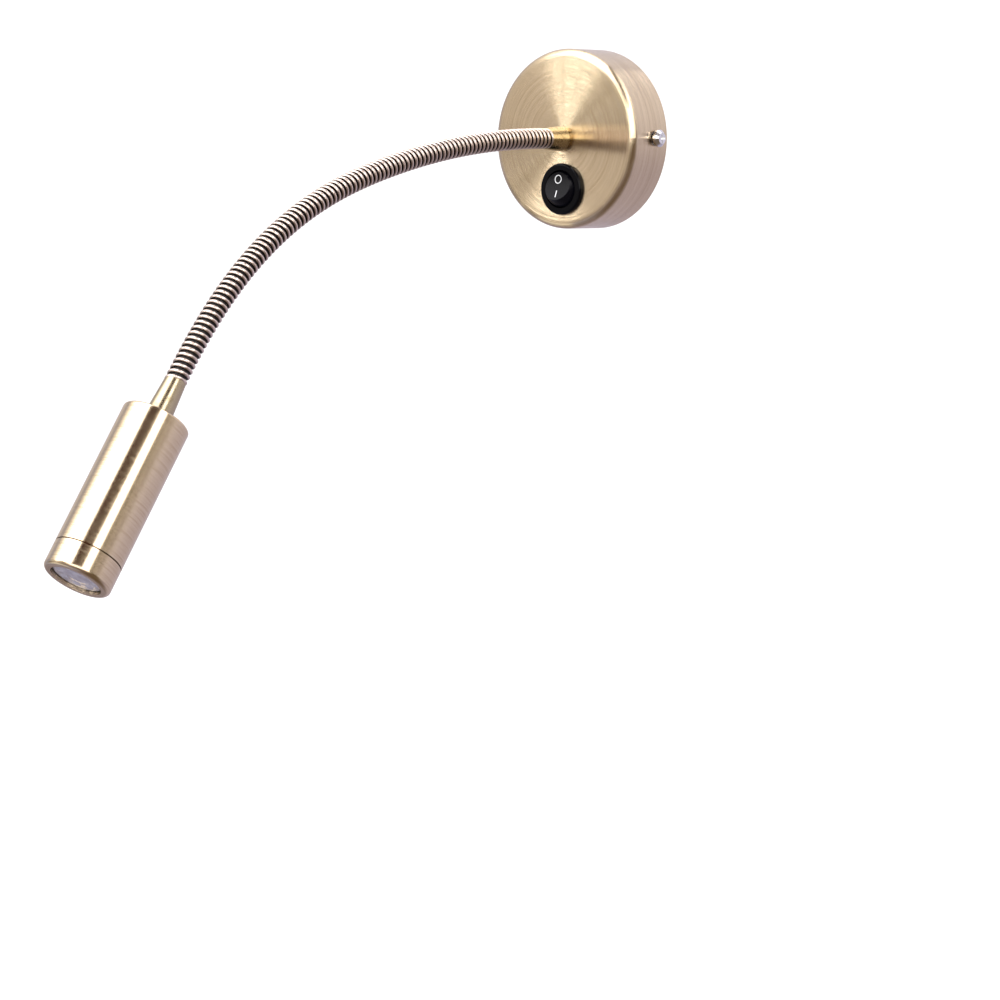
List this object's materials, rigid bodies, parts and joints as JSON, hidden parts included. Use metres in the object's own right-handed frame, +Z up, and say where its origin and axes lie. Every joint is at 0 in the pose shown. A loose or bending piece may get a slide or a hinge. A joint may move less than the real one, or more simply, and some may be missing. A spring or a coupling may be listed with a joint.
{
  "type": "bedside wall reading lamp",
  "caption": "Wall reading lamp: round canopy with a rocker switch, bendable ribbed gooseneck and a slim cylindrical spot head.",
  "frame": {"origin": "centre of the canopy's open back, on the wall", "axes": "+Y into the wall, -Y out into the room, +Z up, +X to the right seen from the room"},
  "size_m": [0.0872, 0.3285, 0.219],
  "materials": {
    "brushed_brass": "fine circular brushing under clear lacquer",
    "polished_gold": "polished",
    "hose_gold": "polished ribs, dark grooves",
    "chrome_screw": "bright",
    "zinc_steel": "zinc plated",
    "earth_brass": "plain",
    "contact_brass": "plain",
    "spring_steel": "bright",
    "black_plastic": "gloss black",
    "black_rocker": "gloss black with white O and I",
    "black_holder": "matt black",
    "bush_plastic": "natural nylon",
    "driver_plastic": "white",
    "board_green": "solder mask",
    "components": "mixed",
    "foam_tape": "foam",
    "heat_sink_aluminium": "turned",
    "led_board_white": "white solder mask",
    "led_yellow": "phosphor",
    "clear_lens": "clear, optical"
  },
  "bodies": {
    "root": {"wall_bracket": "zinc_steel", "bracket_earth_screw": "earth_brass", "earth_cup_washer": "earth_brass", "canopy_shell": "brushed_brass", "canopy_side_screws": "chrome_screw", "base_ferrule": "polished_gold", "nipple_lock_washer": "zinc_steel", "nipple_nut": "zinc_steel", "wire_bush": "bush_plastic", "driver_case": "driver_plastic", "driver_lid": "driver_plastic", "driver_board": "board_green", "driver_components": "components", "driver_tape": "foam_tape", "terminal_block_body": "bush_plastic", "terminal_block_clamps": "contact_brass", "terminal_block_screws": "contact_brass", "terminal_block_tape": "foam_tape", "switch_housing": "black_plastic", "switch_terminal_common": "contact_brass", "switch_terminal_load": "contact_brass", "gooseneck_section_01": "hose_gold"},
    "rocker": {"switch_rocker": "black_rocker", "switch_plunger": "black_holder", "switch_spring": "spring_steel"},
    "contact_blade": {"switch_contact": "contact_brass"},
    "gooseneck_02": {"gooseneck_section_02": "hose_gold"},
    "gooseneck_03": {"gooseneck_section_03": "hose_gold"},
    "gooseneck_04": {"gooseneck_section_04": "hose_gold"},
    "gooseneck_05": {"gooseneck_section_05": "hose_gold"},
    "gooseneck_06": {"gooseneck_section_06": "hose_gold"},
    "gooseneck_07": {"gooseneck_section_07": "hose_gold"},
    "gooseneck_08": {"gooseneck_section_08": "hose_gold"},
    "gooseneck_09": {"gooseneck_section_09": "hose_gold"},
    "gooseneck_10": {"gooseneck_section_10": "hose_gold"},
    "head": {"gooseneck_section_11": "hose_gold", "neck_ferrule": "polished_gold", "head_tube": "brushed_brass", "head_washer": "zinc_steel", "head_nut": "zinc_steel", "heat_sink": "heat_sink_aluminium", "led_board": "led_board_white", "led_emitter": "led_yellow", "lens_holder": "black_holder", "lens": "clear_lens", "front_ring": "brushed_brass"}
  },
  "joints": [
    {"name": "gooseneck_nod_01", "type": "hinge", "parent": "root", "child": "gooseneck_02", "pos_m": [0, -0.05918, -0.00065], "axis": [1, 0, 0], "range_deg": [-20, 10]},
    {"name": "gooseneck_swing_02", "type": "hinge", "parent": "gooseneck_02", "child": "gooseneck_03", "pos_m": [0, -0.08258, -0.00261], "axis": [0, -0.1108, 0.9938], "range_deg": [-20, 20]},
    {"name": "gooseneck_nod_03", "type": "hinge", "parent": "gooseneck_03", "child": "gooseneck_04", "pos_m": [0, -0.10584, -0.00586], "axis": [1, 0, 0], "range_deg": [-20, 10]},
    {"name": "gooseneck_swing_04", "type": "hinge", "parent": "gooseneck_04", "child": "gooseneck_05", "pos_m": [0, -0.12889, -0.01039], "axis": [0, -0.2203, 0.9754], "range_deg": [-20, 20]},
    {"name": "gooseneck_nod_05", "type": "hinge", "parent": "gooseneck_05", "child": "gooseneck_06", "pos_m": [0, -0.15164, -0.01621], "axis": [1, 0, 0], "range_deg": [-20, 10]},
    {"name": "gooseneck_swing_06", "type": "hinge", "parent": "gooseneck_06", "child": "gooseneck_07", "pos_m": [0, -0.1739, -0.0237], "axis": [0, -0.3656, 0.9308], "range_deg": [-20, 20]},
    {"name": "gooseneck_nod_07", "type": "hinge", "parent": "gooseneck_07", "child": "gooseneck_08", "pos_m": [0, -0.1952, -0.03356], "axis": [1, 0, 0], "range_deg": [-20, 10]},
    {"name": "gooseneck_swing_08", "type": "hinge", "parent": "gooseneck_08", "child": "gooseneck_09", "pos_m": [0, -0.21506, -0.04607], "axis": [0, -0.5887, 0.8083], "range_deg": [-20, 20]},
    {"name": "gooseneck_nod_09", "type": "hinge", "parent": "gooseneck_09", "child": "gooseneck_10", "pos_m": [0, -0.23309, -0.06111], "axis": [1, 0, 0], "range_deg": [-20, 10]},
    {"name": "gooseneck_swing_10", "type": "hinge", "parent": "gooseneck_10", "child": "head", "pos_m": [0, -0.24917, -0.07822], "axis": [0, -0.7636, 0.6457], "range_deg": [-20, 20]},
    {"name": "rocker_press", "type": "hinge", "parent": "root", "child": "rocker", "pos_m": [0, -0.0234, -0.0223], "axis": [1, 0, 0], "range_deg": [0, 28]},
    {"name": "contact_see_saw", "type": "hinge", "parent": "root", "child": "contact_blade", "pos_m": [0, -0.0149, -0.0223], "axis": [1, 0, 0], "range_deg": [-14, 0]}
  ],
  "couplings": [
    {"joint": "contact_see_saw", "follows": "rocker_press", "ratio": -0.5}
  ]
}
